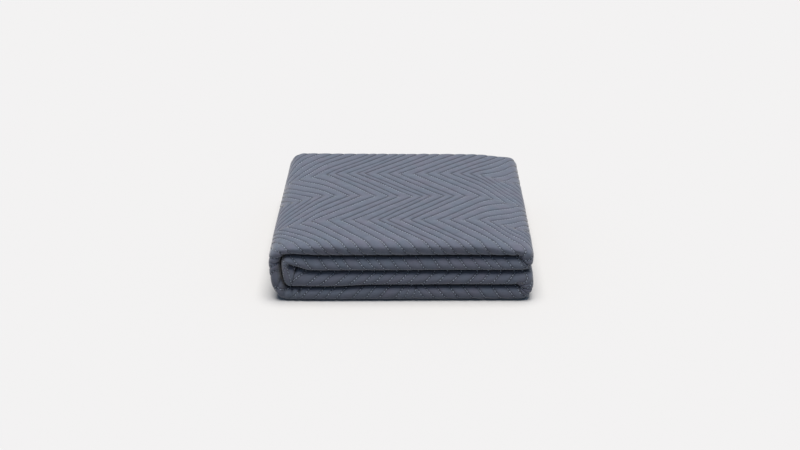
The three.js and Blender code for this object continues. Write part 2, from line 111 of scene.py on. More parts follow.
# The finer surface.
GROOVE_DEPTH = 1.1
GROOVE_WIDTH = 1.6
PILLOW_DEPTH = 2.4
BACK_RELIEF = 0.3  # how much of that is left round the back folds, where the cloth is stretched
FRONT_RELIEFS = (0.5, 0.45, 0.45, 0.85)  # and round each layer's front fold
PILLOW_SHAPE = 0.8
LOFT_DEPTH = 0.5  # how much a channel's filling varies
SEAM_ROUNDS = 24
SEAM_WANDER = 3.2  # how far a seam strays from its even place at each corner
SLOW_WANDER = 6  # and how far seams stray in groups
ROW_STEP = 4.8  # between rows over the top
# Where the samples lie on the way from one seam to the next, closest beside the seam.
CHANNEL_SHARES = (0, 0.035, 0.075, 0.13, 0.225, 0.35, 0.5, 0.65, 0.775, 0.87, 0.925, 0.965)
PUCKER_PITCH = 9.0
PUCKER_LENGTH = 22.0
DEEPEST = 6.5  # no seam or crease goes deeper, to stay within the outer ply
STITCH_PITCH = 6.5
STITCH_LENGTH = 4.2
STITCH_RADIUS = 0.5
STITCH_LIFT = 0.3


def ramp(x, low, high):
    """A smooth step from 0 at low to 1 at high."""
    t = np.clip((np.asarray(x, float) - low) / (high - low), 0, 1)
    return t * t * (3 - 2 * t)


def lerp(a, b, t):
    return a + (b - a) * t


def lattice_noise(seed):
    """A smooth noise over a plane, from -1 to 1, with one knot for each unit."""
    knots = np.random.default_rng(seed).uniform(-1, 1, (64, 64))

    def at(x, y):
        x, y = np.broadcast_arrays(np.asarray(x, float), np.asarray(y, float))
        i, j = np.floor(x).astype(int), np.floor(y).astype(int)
        a, b = ramp(x - i, 0, 1), ramp(y - j, 0, 1)
        low = lerp(knots[i % 64, j % 64], knots[(i + 1) % 64, j % 64], a)
        high = lerp(knots[i % 64, (j + 1) % 64], knots[(i + 1) % 64, (j + 1) % 64], a)
        return lerp(low, high, b)

    return at


wander_noise = lattice_noise(11)
loft_noise = lattice_noise(12)
level_noise = lattice_noise(13)

# ---- The gaps between the layers ------------------------------------------------------------------


def gap_height(k, x):
    """The height of the middle of gap k at x; gap 0 is the floor and gap 4 is the top."""
    x = np.asarray(x, float)
    left_dip = 1 - ramp(x, LEFT_X + 80, LEFT_X + 170)
    shift = (
        0 * x,
        -LEFT_SAG * left_dip,
        INNER_TIP_RISE * (1 - ramp(x, LEFT_X - 12, LEFT_X + 48)),
        LEFT_SAG * (1 - ramp(x, LEFT_X, LEFT_X + 70)),
        -RIGHT_SLOPE * ramp(x, RIGHT_X - 75, RIGHT_X + 20),
    )[k]
    return k * LAYER_PITCH - HALF_GAP + shift


# ---- The strip's route through the stack ----------------------------------------------------------


class Layer:
    """A straight layer above gap k."""

    def __init__(self, k, outer_up, start_x, end_x):
        self.layer = k
        self.outer_up = float(outer_up)
        self.start_x = start_x
        self.end_x = end_x
        self.cloth = abs(end_x(1) - start_x(1))

    def place(self, u, n):
        x = lerp(self.start_x(n), self.end_x(n), u)
        low = gap_height(self.layer, x) + HALF_GAP
        high = gap_height(self.layer + 1, x) - HALF_GAP
        return x, lerp(low, high, n if self.outer_up else 1 - n)


class Face:
    """A superellipse about a bend's centre: how far it reaches sideways, up and down."""

    def __init__(self, side, up, down, power_up, power_down):
        self.side, self.up, self.down = side, up, down
        self.power_up, self.power_down = power_up, power_down

    def reach(self, angle):
        above = np.sin(angle) > 0
        power = np.where(above, self.power_up, self.power_down)
        along = np.where(above, self.up, self.down)
        total = np.abs(np.cos(angle) / self.side) ** power + np.abs(np.sin(angle) / along) ** power
        return total ** (-1 / power)


class Bend:
    """A bend about gap k at x, from one angle to another, between an inside and an outside face."""

    layer = None

    def __init__(self, k, x, start, end, inside, outside, outer_out, cloth):
        self.x = x
        self.centre = float(gap_height(k, x))
        self.start, self.end = start, end
        self.inside, self.outside = inside, outside
        self.outer_out = outer_out
        self.cloth = cloth

    def place(self, u, n):
        angle = lerp(self.start, self.end, u)
        share = n if self.outer_out else 1 - n
        distance = lerp(self.inside.reach(angle), self.outside.reach(angle), share)
        return self.x + distance * np.cos(angle), self.centre + distance * np.sin(angle)


def bend_face(k, x, rows, side, power_up, power_down, beyond=False):
    """The face of a bend about gap k that meets the gaps `rows` above and below it."""
    gap = HALF_GAP if beyond else -HALF_GAP
    centre = gap_height(k, x)
    up = float(gap_height(k + rows, x) + gap - centre)
    down = float(centre - gap_height(k - rows, x) + gap)
    return Face(side, up, down, power_up, power_down)


TIGHT = Face(HALF_GAP, HALF_GAP, HALF_GAP, 2, 2)


def right_bend(k, side, power_up, power_down):
    outside = bend_face(k, RIGHT_X, 1, side, power_up, power_down)
    return Bend(k, RIGHT_X, -QUARTER, QUARTER, TIGHT, outside, True, 84)


def at_left(n):
    return LEFT_X + 0 * n


def at_right(n):
    return RIGHT_X + 0 * n


def first_end(n):
    return LEFT_X + 3 + 12 * n


def last_end(n):
    return first_end(n) + 0.3 + 4 * n**4


OUTER_LEFT_INSIDE = bend_face(2, LEFT_X, 1, LEFT_REACH - BEND_THICKNESS, 2.1, 2.5, True)
OUTER_LEFT_OUTSIDE = bend_face(2, LEFT_X, 2, LEFT_REACH, 2.5, 2.6)
INNER_LEFT_OUTSIDE = bend_face(2, LEFT_X, 1, LEFT_REACH - BEND_THICKNESS - BEND_GAP, 2.0, 2.2)

STUB = Layer(1, True, first_end, at_left)
INNER_LEFT = Bend(2, LEFT_X, 3 * QUARTER, QUARTER, TIGHT, INNER_LEFT_OUTSIDE, False, 84)
SECOND = Layer(2, False, at_left, at_right)
UPPER_RIGHT = right_bend(3, UPPER_RIGHT_REACH, 2.3, 4)
TOP = Layer(3, True, at_right, at_left)
OUTER_LEFT = Bend(2, LEFT_X, QUARTER, 3 * QUARTER, OUTER_LEFT_INSIDE, OUTER_LEFT_OUTSIDE, True, 168)
BOTTOM = Layer(0, False, at_left, at_right)
LOWER_RIGHT = right_bend(1, RIGHT_REACH, 4, 2.5)
THIRD = Layer(1, True, at_right, last_end)
ROUTE = (STUB, INNER_LEFT, SECOND, UPPER_RIGHT, TOP, OUTER_LEFT, BOTTOM, LOWER_RIGHT, THIRD)

STRIP = 0.0
for piece in ROUTE:
    piece.first = STRIP
    STRIP += piece.cloth
    piece.last = STRIP
ENDS = np.array([piece.last for piece in ROUTE])
SEAMS = np.arange(-8, int(STRIP / SEAM_PITCH) + 8)


def pieces_at(s):
    """The route's pieces that hold some of s, each with the mask of its samples and their shares."""
    index = np.minimum(np.searchsorted(ENDS, s), len(ROUTE) - 1)
    for i in np.unique(index):
        mask = index == i
        yield i, ROUTE[i], mask, np.clip((s[mask] - ROUTE[i].first) / ROUTE[i].cloth, 0, 1)


def place(s, n):
    x, z = np.empty_like(s), np.empty_like(s)
    for _, piece, mask, u in pieces_at(s):
        x[mask], z[mask] = piece.place(u, n[mask])
    return x, z


def neighbours(i):
    """The layers before and after a bend, or a layer twice."""
    return (ROUTE[i - 1], ROUTE[i + 1]) if ROUTE[i].layer is None else (ROUTE[i], ROUTE[i])


def blended(s, values):
    """The layers' own values at s, which the bends blend from one layer to the next."""
    value = np.empty_like(s)
    for i, _, mask, u in pieces_at(s):
        before, after = (values[piece.layer] for piece in neighbours(i))
        value[mask] = lerp(before, after, u)
    return value


def fold_spread(s, y):
    """How far each layer's front fold stands out or in."""
    return blended(s, FOLD_SPREAD) * (1 - ramp(y, FRONT_Y, FRONT_Y + 120))


def layer_fold(piece, inset, up):
    """How far the front fold of a layer reaches out from FRONT_Y."""
    nose, hang = NOSES[piece.layer], HANGS[piece.layer]
    height = up if piece.outer_up else -up
    over = height > -hang
    power = np.where(over, SHOULDERS[piece.layer], UNDERSIDE)
    share = np.where(over, (height + hang) / (1 + hang), (-hang - height) / (1 - hang))
    across = (1 - np.clip(share, 0, 1) ** power) ** (1 / power)
    return nose - FRONT_NOSE - (nose - inset) * across


def fold_out(s, inset, up):
    """How far a front fold's face reaches out from FRONT_Y at s.

    The face lies inset within the cloth's outside, and up goes from -1 to 1 the way that n grows.
    """
    out, up = np.empty_like(s), up + 0 * s
    for i, piece, mask, u in pieces_at(s):
        before, after = neighbours(i)
        even = lerp(layer_fold(before, inset, up[mask]), layer_fold(after, inset, up[mask]), u)
        across = np.sqrt(np.clip(1 - up[mask] ** 2, 0, 1))
        bent = BEND_NOSE - FRONT_NOSE - (BEND_NOSE - inset) * across
        out[mask] = lerp(even, bent, 0 if piece.layer is not None else np.sin(np.pi * u))
    return out


# ---- The quilting ---------------------------------------------------------------------------------
# The distance v over the cloth is from the middle of the upper pair's back fold.


def half_fold_arc(nose, half, power):
    """The length from the middle of a fold to its end."""
    angles = np.linspace(0, QUARTER, 90)
    across = nose * np.cos(angles) ** (2 / power)
    up = half * np.sin(angles) ** (2 / power)
    return float(np.hypot(np.diff(across), np.diff(up)).sum())


BACK_NOSE_ARC = half_fold_arc(BACK_NOSE, PAIR / 2, BACK_SQUARENESS)
FRONT_FOLD_V = BACK_NOSE_ARC + BACK_Y - FRONT_Y
FRONT_FOLD_ARC = 2 * half_fold_arc(FRONT_NOSE, LAYER / 2, 2)


def band_extra(s):
    """How much longer the band that turns over the front fold is than the others."""
    knuckle = 0.6 * np.exp(-(((s - UPPER_RIGHT.last) / 45) ** 2))
    upper = 1 - ramp(s, TOP.last - 60, OUTER_LEFT.last + 20) - knuckle
    rise = ramp(s, BOTTOM.first + 210, BOTTOM.first + 350)
    fall = ramp(s, LOWER_RIGHT.first, LOWER_RIGHT.last)
    return lerp(LAST_BAND_SHORT, LAST_BAND_LONG, np.maximum(upper, rise * (1 - fall)))


def triangle_wave(w):
    return BAND - np.abs(np.mod(w, 2 * BAND) - BAND)


def side_shift(s, v):
    """How much further forward the zigzag's corners lie, over the top, at s."""
    beside = 1 - ramp(s, TOP.first - 20, TOP.first + 70) + ramp(s, TOP.last - 60, TOP.last + 30)
    return SIDE_SHIFT * beside * ramp(v, 0, 150) * (1 - ramp(v, FRONT_FOLD_V - 80, FRONT_FOLD_V))


def zigzag(s, v):
    """How far a seam has moved along the strip at the distance v from the back fold."""
    extra = band_extra(s)
    w = v - FIRST_CORNER - (1 - FOLD_LEAN) * np.clip(v - FRONT_FOLD_V, 0, FRONT_FOLD_ARC)
    w = w - side_shift(s, v)
    over_fold = np.where(w > 3 * BAND, 4 * BAND - w, triangle_wave(w))
    return np.where(w > 4 * BAND + extra, triangle_wave(w - extra) - extra, over_fold)


def seam_at(seam, v):
    """Where seams lie along the strip at the distance v, each straying a little at every corner."""
    seam = np.asarray(seam, float)
    even = seam * SEAM_PITCH
    s = even
    for _ in range(SEAM_ROUNDS):  # the zigzag itself changes a little along the strip
        s = even + zigzag(s, v)
    corner = (v - FIRST_CORNER) / BAND
    alone = 0.6 * np.sin(2.1 * seam + 1.7 * corner) + 0.4 * np.sin(3.9 * seam - 2.3 * corner + 1)
    s = s + SEAM_WANDER * alone + SLOW_WANDER * np.sin(0.62 * seam + 0.9 * corner)
    return s + 1.2 * wander_noise(seam * 2.3, corner * 3 + 9)


def face_shows(s):
    """Where a flat ply's outer face can be seen, and so keeps its quilting."""
    shown = np.zeros_like(s)
    for _, piece, mask, u in pieces_at(s):
        if piece is UPPER_RIGHT:
            shown[mask] = ramp(u, 0.1, 0.4)
        elif piece is TOP:
            shown[mask] = 1
        elif piece is OUTER_LEFT:
            shown[mask] = 1 - ramp(u, 0.75, 0.95)
        elif piece is LOWER_RIGHT:
            shown[mask] = ramp(u, 0.1, 0.3) * (1 - ramp(u, 0.7, 0.9))
    return shown


class Crease:
    """A crease that runs out from the middle of a bend, across a front fold.

    It fades by `inner` towards the fold's outer side, or below 0 towards its inner one.
    """

    def __init__(self, piece, share, depth, width, back, inner=0.0):
        self.s = piece.first + share * piece.cloth
        self.depth, self.width, self.back, self.inner = depth, width, back, inner

    def at(self, s, y, up):
        away = (s - self.s) / self.width
        fade = 1 - ramp(y, FRONT_Y, FRONT_Y + self.back)
        side = (1 - math.copysign(1, self.inner) * up) / 2
        return self.depth * np.exp(-2 * away * away) * fade * lerp(1, side, abs(self.inner))


CREASES = (
    Crease(UPPER_RIGHT, 0.26, 5.5, 3.5, 110),
    Crease(UPPER_RIGHT, 0.17, 5.0, 3.5, 30, 1.0),
    Crease(UPPER_RIGHT, 0.45, 2.0, 3.0, 30, 1.0),
    Crease(LOWER_RIGHT, 0.18, 5.0, 3.5, 30, 1.0),
    Crease(LOWER_RIGHT, 0.30, 3.0, 3.0, 30, 0.3),
    Crease(LOWER_RIGHT, 0.41, 3.0, 3.0, 30, 0.6),
    Crease(LOWER_RIGHT, 0.60, 2.5, 3.0, 20, 0.8),
    Crease(OUTER_LEFT, 0.14, 3.0, 4.0, 30, 0.3),
    Crease(OUTER_LEFT, 0.44, 3.0, 4.0, 30, 0.6),
    Crease(OUTER_LEFT, 0.86, 6.5, 5.0, 30, 0.9),
    Crease(OUTER_LEFT, 0.95, 6.5, 4.5, 25, 0.9),
    Crease(BOTTOM, 0.012, 5.5, 4.0, 20, 0.9),
    Crease(BOTTOM, 0.045, 5.5, 4.0, 20, 0.9),
    Crease(STUB, 0.0, 3.5, 4.0, 900, -1.0),
    Crease(THIRD, 1.0, 4.5, 5.0, 900, -1.0),
)


def creasing(s, y, up):
    return sum(crease.at(s, y, up) for crease in CREASES)


def quilting(share, s, v):
    """How far the quilting draws the cloth in, at a share of the way from one seam to the next."""
    spacing = SEAM_PITCH * SEAM_SLANT
    away = np.minimum(share, 1 - share) * spacing
    groove = GROOVE_DEPTH * np.exp(-((away / GROOVE_WIDTH) ** 2))
    pillow = PILLOW_DEPTH * (1 - np.sin(np.pi * share) ** PILLOW_SHAPE)
    loft = LOFT_DEPTH * (1 - np.exp(-((away / 5) ** 2))) * (1 - loft_noise(s / 34, v / 21))
    return groove + pillow + loft


# ---- The four plies, across the strip -------------------------------------------------------------

HEM_Y = FRONT_Y + 4
# Heights as shares of a layer.
HALF_PAIR = PAIR / 2 / LAYER
UPPER_PAIR = 1 - HALF_PAIR
LOWER_PAIR = HALF_PAIR
HALF_PLY_GAP = PLY_GAP / 2 / LAYER


def rounded(value):
    return math.copysign(abs(value) ** (2 / BACK_SQUARENESS), value)


class Row:
    """A line of the cloth's surface along the whole strip, and the way in from the surface there."""

    def __init__(self, y, n, kind="hidden", in_n=0.0):
        self.y, self.n, self.kind = y, n, kind
        self.fold, self.inset, self.up = 0.0, 0.0, 1.0
        self.in_y, self.in_n, self.turn = 0.0, in_n, 1.0
        self.v = 0.0
        self.middle = False


def fold_rows(y, nose, n, half, start, end, steps, quilted=False):
    """The rows round a fold, from one angle in degrees to another; 90 is the way that n grows.

    A nose below 0 is a front fold's, which fold_out shapes for each layer.
    """
    rows = []
    for i in range(steps + 1):
        angle = math.radians(lerp(start, end, i / steps))
        across, up = math.cos(angle), math.sin(angle)
        if nose > 0:
            across, up = rounded(across), rounded(up)
            row = Row(y + nose * across, n + half * up)
        else:
            row = Row(y, n + half * up)
            row.fold, row.inset, row.up = 1.0, FRONT_NOSE + nose, up
        row.middle = nose > 0 and abs(up) < 1e-9
        at_end = i in (0, steps)
        if quilted and (not at_end or row.n > 1 - 1e-9):
            row.kind = "fold"
        if quilted:
            row.in_y, row.in_n = -math.copysign(math.cos(angle), nose), -math.sin(angle)
            row.turn = float(ramp(abs(math.sin(angle)), 0.8, 1))
        rows.append(row)
    return rows


def top_rows():
    """Rows over the top, a little closer or wider so that some lie on the zigzag's corners."""
    back = BACK_NOSE_ARC
    corners = [BACK_Y - (FIRST_CORNER + i * BAND - back) for i in range(4)]
    stops = [BACK_Y, *[y for y in corners if FRONT_Y + ROW_STEP < y < BACK_Y], FRONT_Y]
    rows = []
    for near, far in zip(stops, stops[1:]):
        steps = max(1, round((near - far) / ROW_STEP))
        rows += [Row(lerp(near, far, i / steps), 1.0, "face", -1.0) for i in range(steps)]
    return rows[1:]


FRONT_FOLD = (FRONT_Y, -FRONT_NOSE, 0.5, 0.5)
INNER_FRONT_FOLD = (FRONT_Y, PLY + 2 - FRONT_NOSE, 0.5, 0.5 - PLY / LAYER)
BACK_FOLD = (BACK_Y, BACK_NOSE)
INNER_BACK_FOLD = (BACK_Y, 0.4)
BACK_STEPS = 8
FRONT_STEPS = 24

OUTER_ROWS = [
    Row(HEM_Y, 1 - PAIR / LAYER),
    *fold_rows(*BACK_FOLD, UPPER_PAIR, HALF_PAIR, -90, 90, BACK_STEPS, quilted=True),
    *top_rows(),
    *fold_rows(*FRONT_FOLD, 90, -90, FRONT_STEPS, quilted=True),
    *fold_rows(*BACK_FOLD, LOWER_PAIR, HALF_PAIR, -90, 90, BACK_STEPS, quilted=True),
    Row(HEM_Y, PAIR / LAYER),
]
INNER_ROWS = [
    Row(HEM_Y, (PLY + PLY_GAP) / LAYER),
    *fold_rows(*INNER_BACK_FOLD, LOWER_PAIR, HALF_PLY_GAP, 90, -90, 2),
    *fold_rows(*INNER_FRONT_FOLD, -90, 90, 8),
    *fold_rows(*INNER_BACK_FOLD, UPPER_PAIR, HALF_PLY_GAP, 90, -90, 2),
    Row(HEM_Y, 1 - (PLY + PLY_GAP) / LAYER),
]
ROWS = OUTER_ROWS + INNER_ROWS


def fold_share(row):
    return row.fold * math.sqrt(1 - row.up**2)


def measure_rows():
    """Each outer row's distance v over the cloth, from the middle of the upper pair's back fold."""
    distance = 0.0
    middle = None
    for before, row in zip([OUTER_ROWS[0], *OUTER_ROWS], OUTER_ROWS):
        step = row.y - before.y - FRONT_NOSE * (fold_share(row) - fold_share(before))
        distance += math.hypot(step, (row.n - before.n) * LAYER)
        row.v = distance
        if middle is None and row.middle:
            middle = distance
    for row in OUTER_ROWS:
        row.v -= middle


measure_rows()

# ---- The samples along each row -------------------------------------------------------------------

PLAIN_STEPS = (14, 30, 48, 80, 170, 378, 418)
MIN_STEP = 0.35
SHOWN = ((UPPER_RIGHT.first, OUTER_LEFT.last), (LOWER_RIGHT.first, LOWER_RIGHT.last))
STRETCH_KEY = 100000.0


def plain_samples():
    """Samples enough for the shape of each piece of the route where no quilting shows."""
    samples = []
    for piece in ROUTE:
        samples.append(piece.first)
        if piece.layer is None:
            samples += [piece.first + piece.cloth * i / 10 for i in range(1, 10)]
            continue
        start, end = float(piece.start_x(1)), float(piece.end_x(1))
        inner = [LEFT_X + step for step in PLAIN_STEPS]
        samples += [piece.first + abs(x - start) for x in inner if (x - start) * (x - end) < 0]
    return np.unique(samples + [STRIP])


PLAIN = plain_samples()
CREASE_SHARES = (-0.9, -0.4, 0, 0.4, 0.9)  # of a crease's width
CREASE_SAMPLES = np.array([c.s + c.width * share for c in CREASES for share in CREASE_SHARES])


def quilt_samples(v, low, high):
    """Samples across every channel from one s to another: s, seam number with share, and share."""
    lines = seam_at(SEAMS, v)
    shares = np.array(CHANNEL_SHARES)
    s = lerp(lines[:-1, None], lines[1:, None], shares[None, :]).ravel()
    number = (SEAMS[:-1, None] + shares[None, :]).ravel()
    extra = CREASE_SAMPLES[np.abs(CREASE_SAMPLES[:, None] - s[None, :]).min(1) > MIN_STEP]
    order = np.argsort(np.concatenate([s, extra]))
    number = np.concatenate([number, np.interp(extra, s, number)])[order]
    s = np.concatenate([s, extra])[order]
    keep = (s > low + MIN_STEP) & (s < high - MIN_STEP)
    return s[keep], number[keep]


def sample_row(row):
    """Fills in a row's samples and their order keys."""
    if row.kind == "hidden":
        row.s, row.key, row.number = PLAIN, PLAIN, None
        return
    if row.kind == "fold":
        s, number = quilt_samples(row.v, 0, STRIP)
        row.s = np.concatenate([[0], s, [STRIP]])
        row.number = np.concatenate([[number[0]], number, [number[-1]]])
        row.key = np.concatenate([[number[0] - 1], number, [number[-1] + 1]])
        return
    s_parts, key_parts, number_parts = [], [], []
    edges = [0.0, *[edge for stretch in SHOWN for edge in stretch], STRIP]
    for i, (low, high) in enumerate(zip(edges, edges[1:])):
        if i % 2:
            s, number = quilt_samples(row.v, low, high)
            key = i * STRETCH_KEY + number
        else:
            s = PLAIN[(PLAIN >= low) & (PLAIN <= high)]
            number = np.zeros_like(s)
            key = i * STRETCH_KEY + s
        s_parts.append(s)
        key_parts.append(key)
        number_parts.append(number)
    row.s, row.key = np.concatenate(s_parts), np.concatenate(key_parts)
    row.number = np.concatenate(number_parts)


def seam_share(row):
    """Each sample's share of the way from one seam to the next."""
    return np.mod(row.number, 1.0)


def level_waves(x, y, z):
    """The top layer's droop towards both sides, and the block's own slight unevenness."""
    left = LEFT_DROOP * (1 - ramp(x, LEFT_X - 20, LEFT_X + 75))
    right = RIGHT_DROOP * ramp(x, RIGHT_X - 85, RIGHT_X + 15)
    in_top = ramp(z, 3 * LAYER_PITCH - 4, FOLDED_HEIGHT)
    droop = (left + right) * in_top * (1 - ramp(y, BACK_Y - 110, BACK_Y - 10))
    sag = FRONT_SAG * (1 - ramp(y, FRONT_Y, FRONT_Y + 80)) + BACK_SAG * ramp(y, BACK_Y - 120, BACK_Y)
    sag = sag * ramp(z, 1.2 * LAYER_PITCH, 3 * LAYER_PITCH)
    return 0.9 * level_noise(x / 90 + 7, y / 90 + 5) * (z / FOLDED_HEIGHT) - droop - sag


def skewed(x, y):
    """The front's right end lies further back."""
    forward = np.clip((BACK_Y - y) / (BACK_Y - FRONT_Y), 0, 1)
    return y + FRONT_SKEW * ramp(x, LEFT_X, RIGHT_X) * forward


def surface(s, y, n, v, share, fold, up, in_y, in_n, turn):
    """Points of the quilted outer face, in millimetres."""
    y = y + fold * fold_out(s, 0, up)
    face = turn * np.where(in_n < -0.5, face_shows(s), 0)
    fold_relief = lerp(BACK_RELIEF, blended(s, FRONT_RELIEFS), fold)
    relief = (fold_relief * (1 - turn) + face) * quilting(share, s, v)
    inward = np.minimum(relief + (1 - turn + face) * creasing(s, y, up), DEEPEST)
    x, z = place(s, np.clip(n + in_n * inward / LAYER, 0, 1))
    y = y + in_y * inward - fold_spread(s, y)
    return x, skewed(x, y), z + level_waves(x, y, z)


def row_points(row):
    full = np.ones_like(row.s)
    if row.number is None:
        x, z = place(row.s, row.n * full)
        y = row.y + row.fold * fold_out(row.s, row.inset, row.up)
        y = y - fold_spread(row.s, y)
        return np.stack([x, skewed(x, y), z + level_waves(x, y, z)], 1)
    fixed = [getattr(row, name) * full for name in ("fold", "up", "in_y", "in_n", "turn")]
    points = surface(row.s, row.y * full, row.n * full, row.v * full, seam_share(row), *fixed)
    return np.stack(points, 1)


# ---- The blanket's mesh ---------------------------------------------------------------------------

# How wide the painted shade beside a seam spreads, in mm.
SHADE_BESIDE_SEAM_WIDTH = 1.9
PUCKER_CLEAR = (5, 14)  # mm from a zigzag's corner, where the puckers begin and are full


def keys_between(row, other):
    if "hidden" in (row.kind, other.kind):
        return row.s, other.s
    if row.kind == other.kind:
        return row.key, other.key
    fold, face = (row, other) if row.kind == "fold" else (other, row)
    shown = face.number != 0
    face_key = np.where(shown, face.number, np.interp(face.s, fold.s, fold.key))
    return (fold.key, face_key) if row is fold else (face_key, fold.key)


def zip_rows(row, other, triangles):
    """Joins two neighbouring rows: the sample with the lower key comes next."""
    keys, other_keys = (list(k) + [math.inf] for k in keys_between(row, other))
    s, other_s = (list(r.s) + [math.inf] for r in (row, other))
    i = j = 0
    last, other_last = len(row.s) - 1, len(other.s) - 1
    while i < last or j < other_last:
        ahead = other_keys[j + 1] - keys[i + 1]
        if abs(ahead) < 1e-6:
            first = abs(other_s[j + 1] - s[i]) >= abs(s[i + 1] - other_s[j])
        else:
            first = ahead > 0
        if first:
            triangles.append((row.start + i, row.start + i + 1, other.start + j))
            i += 1
        else:
            triangles.append((other.start + j + 1, other.start + j, row.start + i))
            j += 1


def signed_area(corners):
    y, z = np.array([corner[:2] for corner in corners]).T
    return 0.5 * float(np.sum(y * np.roll(z, -1) - np.roll(y, -1) * z))


def cap_ends(triangles):
    """Closes the strip's two ends, across the plies."""
    outline = []
    for row in ROWS:
        y = row.y - (FRONT_NOSE - row.inset) * fold_share(row)
        outline.append(Vector((y, row.n * LAYER, 0)))
    way_round = signed_area(outline)
    for corners in tessellate_polygon([outline]):
        if signed_area([outline[i] for i in corners]) * way_round < 0:
            corners = corners[::-1]
        triangles.append(tuple(ROWS[i].start for i in corners))
        triangles.append(tuple(ROWS[i].start + len(ROWS[i].s) - 1 for i in reversed(corners)))


def new_mesh_object(name, points, faces, material):
    mesh = bpy.data.meshes.new(name)
    mesh.from_pydata((np.asarray(points) * MM).tolist(), [], faces)
    mesh.polygons.foreach_set("use_smooth", np.ones(len(mesh.polygons), bool))
    mesh.materials.append(material)
    piece = bpy.data.objects.new(name, mesh)
    bpy.context.scene.collection.objects.link(piece)
    return piece


def painted_seam_share(row):
    """How close each of a row's samples lies to a seam, from 0 to 1 on it, for painted seam shade."""
    if row.number is None:
        return 0 * row.s
    share = seam_share(row)
    away = np.minimum(share, 1 - share) * SEAM_PITCH * SEAM_SLANT
    return np.exp(-((away / SHADE_BESIDE_SEAM_WIDTH) ** 2))


def make_blanket(material):
    points, triangles, cloth, seam, dark = [], [], [], [], []
    start = 0
    for row in ROWS:
        sample_row(row)
        row.start = start
        start += len(row.s)
        points.append(row_points(row))
        cloth.append(np.stack([row.s, row.v + 0 * row.s], 1))
        # The painted shade where the cloth lies between two layers.
        dark.append(gap_shade_share(row) * np.ones_like(row.s))
        # The painted shade along the seams' grooves.
        seam.append(painted_seam_share(row))
    for i, row in enumerate(ROWS):
        zip_rows(row, ROWS[(i + 1) % len(ROWS)], triangles)
    cap_ends(triangles)
    piece = new_mesh_object("quilted_panel", np.concatenate(points), triangles, material)
    cloth = np.concatenate(cloth)
    add_numbers(piece.data, "cloth_place", cloth * MM)
    # The seams' painted shade.
    add_numbers(piece.data, "seam", np.concatenate(seam))
    # The painted shade between the layers.
    add_numbers(piece.data, "gap_shade_share", np.concatenate(dark))
    puckers, strength = pucker_place(cloth)
    add_numbers(piece.data, "pucker_place", puckers)
    add_numbers(piece.data, "pucker_strength", strength)
    return piece


def gap_shade_share(row):
    """Painted shade, from 0 to 1, where the cloth lies between two layers or turns in there."""
    if row.kind == "hidden":
        return 1 + 0 * row.s
    face = 1 - face_shows(row.s)
    if row.fold:
        return float(ramp(abs(row.up), 0.82, 1)) * (face if row.up > 0 else 1)
    return face if row.kind == "face" else 0 * row.s


def pucker_place(cloth):
    """A place for the puckers' noise, with close steps along a seam, and how strong they are."""
    s, v = cloth.T
    slope = (zigzag(s, v + 1) - zigzag(s, v - 1)) / 2
    straight = ramp(np.abs(slope), 0.55, 0.6)
    far = np.abs(np.abs(np.mod(v - FIRST_CORNER, BAND) - BAND / 2) - BAND / 2)
    slope = np.sign(slope)
    along, across = (v + slope * s) * SEAM_SLANT, (s - slope * v) * SEAM_SLANT
    place_there = np.stack([along / PUCKER_PITCH, across / PUCKER_LENGTH], 1)
    return place_there, straight * ramp(far, *PUCKER_CLEAR)


def add_numbers(mesh, name, values):
    if values.ndim == 1:
        attribute = mesh.attributes.new(name, "FLOAT", "POINT")
        attribute.data.foreach_set("value", values.astype(np.float32))
    else:
        flat = np.zeros((len(values), 3), np.float32)
        flat[:, :2] = values
        attribute = mesh.attributes.new(name, "FLOAT_VECTOR", "POINT")
        attribute.data.foreach_set("vector", flat.ravel())


# ---- The stitches ---------------------------------------------------------------------------------

# Along a stitch, and how thick it is there as a share of its radius.
STITCH_RINGS = ((-1.0, 0.35), (-0.6, 1.0), (0.6, 1.0), (1.0, 0.35))
STITCH_SIDES = 4
LINE_STEP = 1.5
BESIDE_SHARE = 0.02  # of a channel, for the line beside a seam that tells its way across
SHOWN_ENOUGH = 0.6


def outer_section(v):
    """The outer side's row values at the distances v."""
    along = np.array([row.v for row in OUTER_ROWS])
    names = ("y", "n", "fold", "up", "in_y", "in_n", "turn")
    return [np.interp(v, along, [getattr(row, name) for row in OUTER_ROWS]) for name in names]


def seam_line(seam, v, share=0.0):
    """Points of one seam, or of a line a small share of a channel beside it, and where they are."""
    numbers = np.full_like(v, seam)
    s = lerp(seam_at(numbers, v), seam_at(numbers + 1, v), share)
    inside = (s > 0) & (s < STRIP)
    s = np.clip(s, 0, STRIP)
    y, n, *fixed = outer_section(v)
    points = surface(s, y, n, v, np.full_like(v, share), *fixed)
    return np.stack(points, 1), s, inside


def stitch_centres(line, beside):
    """The middles of the stitches along a line of points, with their ways along and across."""
    steps = np.linalg.norm(np.diff(line, axis=0), axis=1)
    length = np.concatenate([[0], np.cumsum(steps)])
    half = STITCH_LENGTH / 2
    middles = np.arange(half, length[-1] - half, STITCH_PITCH)
    if not len(middles):
        return np.empty((0, 3)), np.empty((0, 3)), np.empty((0, 3))

    def at(distance, values):
        return np.stack([np.interp(distance, length, values[:, i]) for i in range(3)], 1)

    centre = at(middles, line)
    ahead = unit(at(middles + half, line) - at(middles - half, line))
    side = at(middles, beside) - centre
    side = unit(side - ahead * np.sum(side * ahead, 1, keepdims=True))
    return centre, ahead, side


def unit(vectors):
    return vectors / (np.linalg.norm(vectors, axis=1, keepdims=True) + 1e-9)


